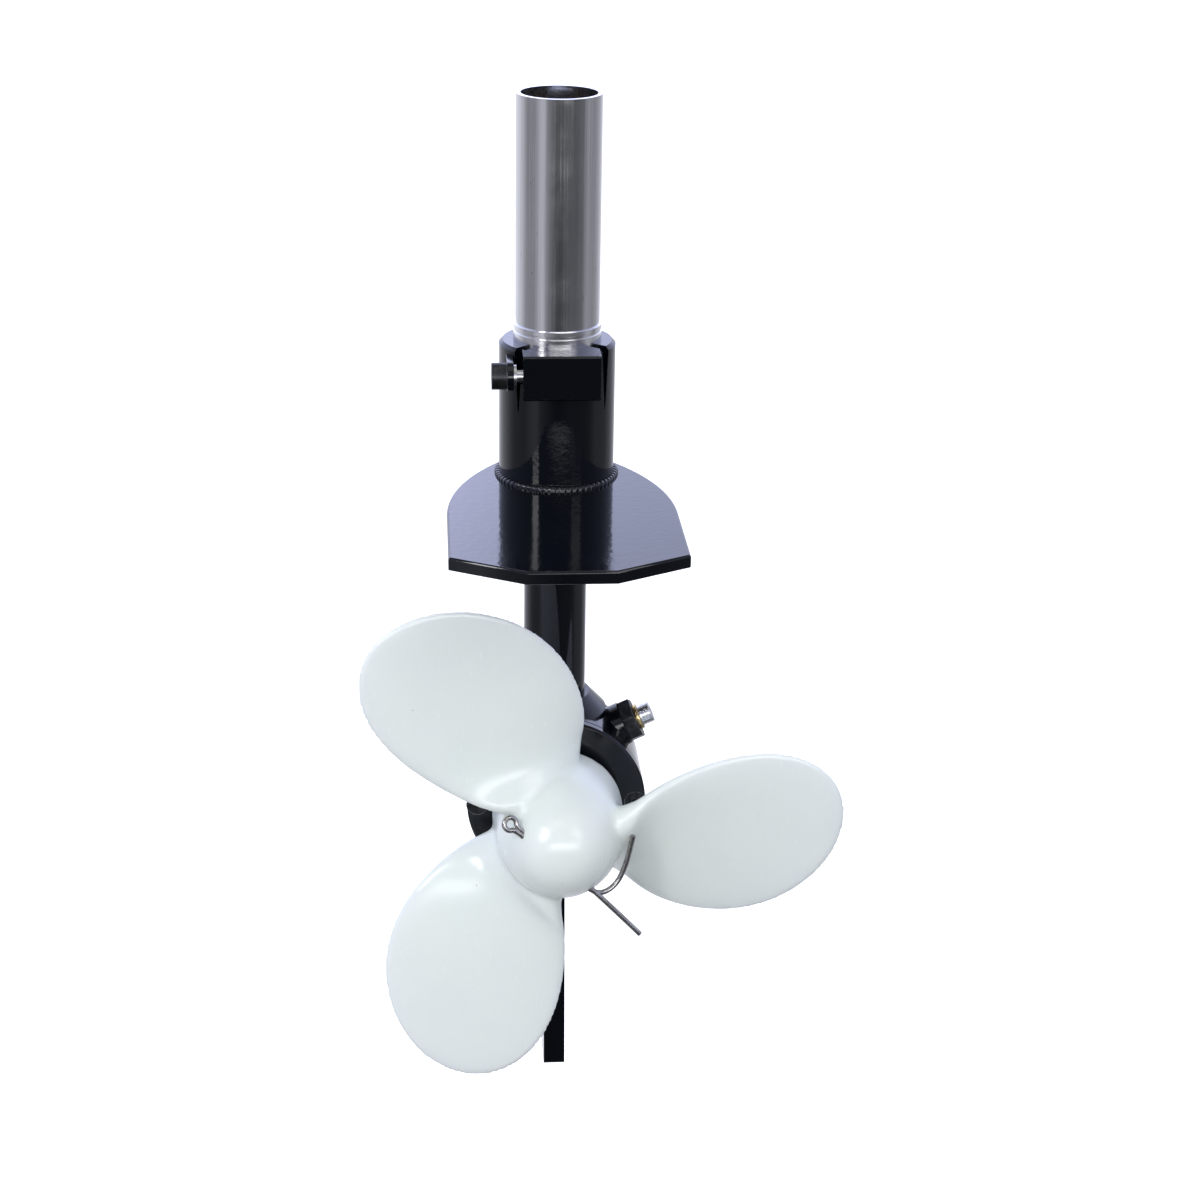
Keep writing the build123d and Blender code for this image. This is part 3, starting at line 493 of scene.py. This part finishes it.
# ---------------------------------------------------------------------------
# Propeller: one moulding, with its blades faired into the hub
# ---------------------------------------------------------------------------
BLADE_START = math.radians(117.7)     # angle of the first blade, from +X towards +Z
BLADE_Y = -42.0                       # mm, the line that the blades are laid out on
BLADE_CENTRE = 46.0
BLADE_REACH = 50.0
BLADE_HALF_CHORD = 30.5
BLADE_PITCH = 56.0
BLADE_RAKE = 0.084
HUB_R = 23.0
HUB_WAIST = (-40.5, 21.8)             # mm, place along Y and radius
ROOT_TWIST = 0.9                      # share by which the pitch grows at the hub
ROOT_REACH = 7.0                      # mm over which that twist dies away
OUTLINE_LEAN = (0.42, -0.15)
SKEW = (8.3, 2.0)
EDGE_POWER = 2.7                      # how full the blade's section is towards its edges
TIP_THICKNESS = 1.5                   # mm, half thickness at the tip
ROOT_THICKENING = 4.0                 # mm added to it by the root
FLARE = 3.0                           # mm added again where the blade meets the hub
FLARE_REACH = 3.2
BLADES = 3
HUB_AROUND = 128
VOXEL = 0.8                           # mm, grain of the skin that joins hub and blades


def blade_grid(rings=64, around=72):
    """Points of one blade pointing along +X, as rings from tip to root, in mm."""
    points = []
    for i in range(rings):
        turn = math.radians(2 + 130 * (i / (rings - 1)) ** 1.15)
        c, s = math.cos(turn), math.sin(turn)
        radius = BLADE_CENTRE + BLADE_REACH * c
        half_chord = BLADE_HALF_CHORD * s * (1 + OUTLINE_LEAN[0] * c + OUTLINE_LEAN[1] * c * c)
        skew = SKEW[0] * c + SKEW[1] * c * c
        thickness = TIP_THICKNESS + ROOT_THICKENING * ((1 - c) / 2) ** 1.5
        thickness *= math.sqrt(max(0.0, 1 - max(c, 0) ** 14))
        thickness += FLARE * math.exp(-max(radius - HUB_R, 0) / FLARE_REACH)
        twist = 1 + ROOT_TWIST * math.exp(-max(radius - HUB_R, 0) / ROOT_REACH)
        pitch_angle = math.atan2(BLADE_PITCH * twist, 2 * math.pi * radius)
        back = BLADE_Y - BLADE_RAKE * (radius - HUB_R)
        for j in range(around):
            angle = 2 * math.pi * j / around
            ca, sa = math.cos(angle), math.sin(angle)
            across = skew + half_chord * math.copysign(abs(ca) ** (2 / EDGE_POWER), ca)
            lift = thickness * math.copysign(abs(sa) ** (2 / EDGE_POWER), sa)
            y = back - across * math.sin(pitch_angle) + lift * math.cos(pitch_angle)
            z = across * math.cos(pitch_angle) + lift * math.sin(pitch_angle)
            points.append((radius, y, z))
    return points, ring_faces(rings, around), rings, around


def hub_profile():
    """Place along Y and radius, from the base round to the nose, in mm."""
    low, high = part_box("propeller")
    base = high.y / MM
    nose = low.y / MM
    line = [(base, 0.0), (base, HUB_R - 1.2), (base - 0.35, HUB_R - 0.35), (base - 1.2, HUB_R)]
    for t in (0.35, 0.7, 1):
        line.append((base + (HUB_WAIST[0] - base) * t, HUB_R + (HUB_WAIST[1] - HUB_R) * t))
    reach = HUB_WAIST[0] - nose
    for step in range(1, 15):
        t = math.pi / 2 * step / 14
        y = HUB_WAIST[0] - reach * math.sin(t) ** 1.12
        line.append((y, HUB_WAIST[1] * math.cos(t) ** 0.86))
    line[-1] = (nose, 0.0)
    return line


def propeller_source():
    """Hub and blades as overlapping closed meshes, in metres, round the shaft's axis."""
    vertices, faces = [], []
    points, quads, rings, around = blade_grid()
    for blade in range(BLADES):
        turn = BLADE_START - 2 * math.pi * blade / BLADES
        c, s = math.cos(turn), math.sin(turn)
        start = len(vertices)
        for x, y, z in points:
            vertices.append(((x * c - z * s) * MM, y * MM, PROP_AXIS_Z + (x * s + z * c) * MM))
        faces += [tuple(start + i for i in quad) for quad in quads]
        faces.append(tuple(start + j for j in range(around)))
        faces.append(tuple(start + (rings - 1) * around + j for j in reversed(range(around))))
    start, around = len(vertices), HUB_AROUND
    line = hub_profile()
    for y, r in line:
        for j in range(around):
            a = 2 * math.pi * j / around
            reach = max(r, 0.01)
            up = PROP_AXIS_Z + reach * math.sin(a) * MM
            vertices.append((reach * math.cos(a) * MM, y * MM, up))
    faces += [tuple(start + i for i in quad) for quad in ring_faces(len(line), around)]
    faces.append(tuple(start + j for j in range(around)))
    faces.append(tuple(start + (len(line) - 1) * around + j for j in reversed(range(around))))
    mesh = mesh_from("propeller_source", vertices, faces)
    face_outwards(mesh)
    return mesh


def fused(mesh, voxel_mm):
    """One closed skin round overlapping closed meshes."""
    temporary = bpy.data.objects.new("temporary", mesh)
    scene.collection.objects.link(temporary)
    remesh = temporary.modifiers.new("remesh", "REMESH")
    remesh.mode = "VOXEL"
    remesh.voxel_size = voxel_mm * MM
    remesh.adaptivity = 0.0
    graph = bpy.context.evaluated_depsgraph_get()
    made = bpy.data.meshes.new_from_object(temporary.evaluated_get(graph))
    bpy.data.objects.remove(temporary)
    return made


def relax(mesh, weights, passes):
    """Moves each vertex towards the middle of its neighbours, as far as its weight says."""
    count = len(mesh.vertices)
    points = np.empty(count * 3)
    mesh.vertices.foreach_get("co", points)
    points = points.reshape(-1, 3)
    edges = np.empty(len(mesh.edges) * 2, int)
    mesh.edges.foreach_get("vertices", edges)
    first, second = edges.reshape(-1, 2).T
    degree = np.bincount(first, minlength=count) + np.bincount(second, minlength=count)
    for step in range(passes):
        total = np.zeros_like(points)
        for axis in range(3):
            total[:, axis] += np.bincount(first, points[second, axis], count)
            total[:, axis] += np.bincount(second, points[first, axis], count)
        points += weights[step % len(weights)][:, None] * (total / degree[:, None] - points)
    mesh.vertices.foreach_set("co", points.ravel())
    mesh.update()


def propeller_moulding():
    """The one-piece propeller, with its roots faired into the hub."""
    mesh = fused(propeller_source(), VOXEL)
    points = np.array([v.co for v in mesh.vertices])
    radius = np.hypot(points[:, 0], points[:, 2] - PROP_AXIS_Z) / MM
    even = np.ones(len(points))
    relax(mesh, [0.55 * even, -0.57 * even], 10)
    near_root = np.clip(1 - np.abs(radius - (HUB_R + 1.0)) / 7.0, 0, 1)
    relax(mesh, [0.5 * near_root], 26)
    smooth(mesh, 80)
    return add_piece("propeller_moulding", mesh, "propeller")


propeller_moulding()


# ---------------------------------------------------------------------------
# Split cotter pin: one wire that makes an eye and two legs through the nose, one bent back
# ---------------------------------------------------------------------------
def wire(name, points, radius):
    """Round wire along a smooth curve."""
    curve = bpy.data.curves.new(name, "CURVE")
    curve.dimensions = "3D"
    curve.bevel_depth = radius
    curve.bevel_resolution = 5
    curve.resolution_u = 12
    curve.use_fill_caps = True
    spline = curve.splines.new("NURBS")
    spline.points.add(len(points) - 1)
    for point, place in zip(spline.points, points):
        point.co = (*place, 1)
    spline.order_u = 3
    spline.use_endpoint_u = True
    temporary = bpy.data.objects.new("temporary", curve)
    scene.collection.objects.link(temporary)
    graph = bpy.context.evaluated_depsgraph_get()
    mesh = bpy.data.meshes.new_from_object(temporary.evaluated_get(graph))
    mesh.name = name
    bpy.data.objects.remove(temporary)
    smooth(mesh, 50)
    return mesh


COTTER_TURN = math.radians(-43.0)
COTTER_MIDDLE = (-2.05, -58.5, -2.2)  # mm from the propeller's axis
WIRE_R = 0.92                         # mm
LEG_GAP = 0.62                        # mm from the pin's line to the middle of each leg
EYE_MIDDLE = -21.2                    # mm along the pin's line
EYE_R = 2.3
EYE_POINTS = 9
EYE_GAP = 25                          # degrees either side of the pin's line
INSIDE = (16.0, -15.6, -17.4)         # mm along the line, where the legs run through the hub
BENT_EXIT = 16.4
STRAIGHT_END = (26.6, -58.5, -30.8)   # mm from the propeller's axis
BENT_LEG = (
    (14.0, -57.0, -15.6), (18.4, -55.0, -13.4), (20.8, -54.2, -9.0), (22.8, -53.6, -2.5),
    (24.0, -53.4, 4.2),
)
cotter_along = Vector((math.cos(COTTER_TURN), 0, math.sin(COTTER_TURN)))
cotter_across = Vector((0.3, -0.85, 0.4)).cross(cotter_along).normalized()
axis_point = Vector((0, 0, PROP_AXIS_Z))


def on_cotter(along_mm, across_mm=0.0):
    reach = Vector(COTTER_MIDDLE) + cotter_along * along_mm + cotter_across * across_mm
    return axis_point + reach * MM


def cotter_pin():
    """Both legs and the eye as one bent wire."""
    route = [axis_point + Vector(STRAIGHT_END) * MM]
    for along in INSIDE:
        route.append(on_cotter(along, LEG_GAP))
    for step in range(EYE_POINTS):
        turn = math.radians(EYE_GAP + (360 - 2 * EYE_GAP) * step / (EYE_POINTS - 1))
        route.append(on_cotter(EYE_MIDDLE + EYE_R * math.cos(turn), EYE_R * math.sin(turn)))
    for along in (INSIDE[2], INSIDE[1], BENT_EXIT):
        route.append(on_cotter(along, -LEG_GAP))
    for place in BENT_LEG:
        route.append(axis_point + Vector(place) * MM)
    return add_piece("cotter_wire", wire("cotter_wire", route, WIRE_R * MM), "cotter_pin")


cotter_pin()


# ---------------------------------------------------------------------------
# Floor, light and camera
# ---------------------------------------------------------------------------
FLOOR_DROP = 0.16                     # below the skeg's tip
FLOOR_HALF = 9.0
floor_z = cad_box[0].z - FLOOR_DROP


def white_floor():
    """A self-lit white sheet that only the camera sees."""
    signs = ((-1, -1), (1, -1), (1, 1), (-1, 1))
    corners = [(x * FLOOR_HALF, y * FLOOR_HALF, floor_z) for x, y in signs]
    floor = bpy.data.objects.new("floor", mesh_from("floor", corners, [(0, 1, 2, 3)]))
    scene.collection.objects.link(floor)
    finish = Finish("floor_white", (0.92, 0.92, 0.92), Roughness=0.9)
    grain = finish.noise(40, detail=3)
    finish.roughness(finish.remap(grain, 0.3, 0.7, 0.85, 0.95))
    finish.shader.inputs["Emission Color"].default_value = (1, 1, 1, 1)
    finish.shader.inputs["Emission Strength"].default_value = 0.75
    floor.data.materials.append(finish.material)
    floor.visible_glossy = False
    floor.visible_diffuse = False


white_floor()

# How bright the studio is all round, below the horizon and above it. Each pair is an angle
# from straight aft, towards +X, and a brightness.
LOW_LIGHT = (
    (-180, 1.10), (-145, 0.92), (-119, 0.70), (-98, 0.33), (-70, 0.30), (-54, 0.56), (-44, 0.64),
    (-34, 0.30), (-22, 0.18), (-10, 0.09), (0, 0.055), (20, 0.11), (52, 0.13), (66, 0.18),
    (80, 0.38), (109, 0.31), (130, 0.50), (180, 1.10),
)
HIGH_LIGHT = (
    (-180, 3.0), (-172, 2.2), (-140, 1.6), (-100, 1.1), (-70, 0.8), (-30, 0.5), (0, 0.4),
    (30, 0.5), (70, 0.7), (100, 1.0), (140, 1.5), (172, 2.0), (176, 2.15), (180, 3.0),
)
CEILING_LIGHT = 0.30
LOW_TINT = (0.95, 0.97, 1.08)
HIGH_TINT = (0.80, 0.86, 1.22)


def studio():
    """Light from all round: dim on the aft side, bright and slightly blue on the fore side."""
    world = bpy.data.worlds.new("studio")
    scene.world = world
    world.use_nodes = True
    tree = world.node_tree
    tree.nodes.clear()

    def node(kind, **settings):
        made = tree.nodes.new(kind)
        for key, value in settings.items():
            setattr(made, key, value)
        return made

    def ramp(angle, table, tint):
        made = node("ShaderNodeValToRGB")
        elements = made.color_ramp.elements
        elements.remove(elements[1])
        for i, (degrees, level) in enumerate(table):
            element = elements[0] if i == 0 else elements.new(degrees / 360 + 0.5)
            element.color = (*(level * c for c in tint), 1)
        tree.links.new(angle, made.inputs["Fac"])
        return made.outputs["Color"]

    coordinates = node("ShaderNodeTexCoord")
    split = node("ShaderNodeSeparateXYZ")
    tree.links.new(coordinates.outputs["Generated"], split.inputs[0])
    towards = node("ShaderNodeMath", operation="MULTIPLY")
    tree.links.new(split.outputs["Y"], towards.inputs[0])
    towards.inputs[1].default_value = -1
    angle = node("ShaderNodeMath", operation="ARCTAN2")
    tree.links.new(split.outputs["X"], angle.inputs[0])
    tree.links.new(towards.outputs[0], angle.inputs[1])
    share = node("ShaderNodeMapRange")
    tree.links.new(angle.outputs[0], share.inputs["Value"])
    share.inputs["From Min"].default_value = -math.pi
    share.inputs["From Max"].default_value = math.pi
    low = ramp(share.outputs["Result"], LOW_LIGHT, LOW_TINT)
    high = ramp(share.outputs["Result"], HIGH_LIGHT, HIGH_TINT)
    rise = node("ShaderNodeMapRange", interpolation_type="SMOOTHSTEP")
    tree.links.new(split.outputs["Z"], rise.inputs["Value"])
    rise.inputs["From Min"].default_value = -0.08
    rise.inputs["From Max"].default_value = 0.18
    around = node("ShaderNodeMix", data_type="RGBA")
    tree.links.new(rise.outputs["Result"], around.inputs["Factor"])
    tree.links.new(low, around.inputs[6])
    tree.links.new(high, around.inputs[7])
    overhead = node("ShaderNodeMapRange", interpolation_type="SMOOTHSTEP")
    tree.links.new(split.outputs["Z"], overhead.inputs["Value"])
    overhead.inputs["From Min"].default_value = 0.5
    overhead.inputs["From Max"].default_value = 0.8
    whole = node("ShaderNodeMix", data_type="RGBA")
    tree.links.new(overhead.outputs["Result"], whole.inputs["Factor"])
    tree.links.new(around.outputs[2], whole.inputs[6])
    whole.inputs[7].default_value = (CEILING_LIGHT, CEILING_LIGHT, CEILING_LIGHT, 1)
    light = node("ShaderNodeBackground")
    tree.links.new(whole.outputs[2], light.inputs["Color"])
    white = node("ShaderNodeBackground")
    white.inputs["Color"].default_value = (1, 1, 1, 1)
    path = node("ShaderNodeLightPath")
    choose = node("ShaderNodeMixShader")
    tree.links.new(path.outputs["Is Camera Ray"], choose.inputs[0])
    tree.links.new(light.outputs[0], choose.inputs[1])
    tree.links.new(white.outputs[0], choose.inputs[2])
    out = node("ShaderNodeOutputWorld")
    tree.links.new(choose.outputs[0], out.inputs["Surface"])


studio()
aim = (cad_box[0] + cad_box[1]) / 2


def softbox(name, azimuth, elevation, distance, width, height, radiance):
    """Rectangular soft light; azimuth is from straight aft, towards +X."""
    a, e = math.radians(azimuth), math.radians(elevation)
    away = Vector((math.sin(a) * math.cos(e), -math.cos(a) * math.cos(e), math.sin(e)))
    light = bpy.data.lights.new(name, "AREA")
    light.shape = "RECTANGLE"
    light.size, light.size_y = width, height
    light.energy = radiance * math.pi * width * height
    box = bpy.data.objects.new(name, light)
    box.location = aim + away * distance
    box.rotation_euler = away.to_track_quat("Z", "Y").to_euler()
    scene.collection.objects.link(box)


# Name: azimuth, elevation, distance, width, height, radiance
SOFTBOXES = {
    "key": (-46, 32, 1.3, 0.26, 0.55, 12.0),
    "fill": (38, 34, 1.4, 0.45, 0.6, 2.6),
    "top": (10, 78, 1.2, 1.0, 0.8, 0.6),
    "front": (5, 12, 1.3, 1.4, 0.34, 4.4),
}
for name, settings in SOFTBOXES.items():
    softbox(name, *settings)

CAMERA_PLACE = (-42.6, -740.7, 125.2)   # mm
CAMERA_PITCH = math.radians(-22.0)
CAMERA_HEADING = math.radians(-4.5)
CAMERA_ROLL = math.radians(0.958)
CAMERA_LENS = 69.1
CAMERA_SENSOR = 36.0


def main_camera():
    """The main view: from aft, slightly left, looking down 22 degrees."""
    pitch, heading, roll = CAMERA_PITCH, CAMERA_HEADING, CAMERA_ROLL
    level = Vector((-math.sin(heading), math.cos(heading), 0))
    look = level * math.cos(pitch) + Vector((0, 0, math.sin(pitch)))
    level_right = Vector((math.cos(heading), math.sin(heading), 0))
    level_up = level_right.cross(look)
    right = level_right * math.cos(roll) + level_up * math.sin(roll)
    up = level_up * math.cos(roll) - level_right * math.sin(roll)
    data = bpy.data.cameras.new("camera")
    data.sensor_width = CAMERA_SENSOR
    data.lens = CAMERA_LENS
    data.clip_start, data.clip_end = 0.01, 100.0
    camera = bpy.data.objects.new("camera", data)
    place = Vector(CAMERA_PLACE) * MM
    camera.matrix_world = Matrix((
        (right.x, up.x, -look.x, place.x),
        (right.y, up.y, -look.y, place.y),
        (right.z, up.z, -look.z, place.z),
        (0, 0, 0, 1),
    ))
    scene.collection.objects.link(camera)
    scene.camera = camera


main_camera()
scene.view_settings.view_transform = "Standard"
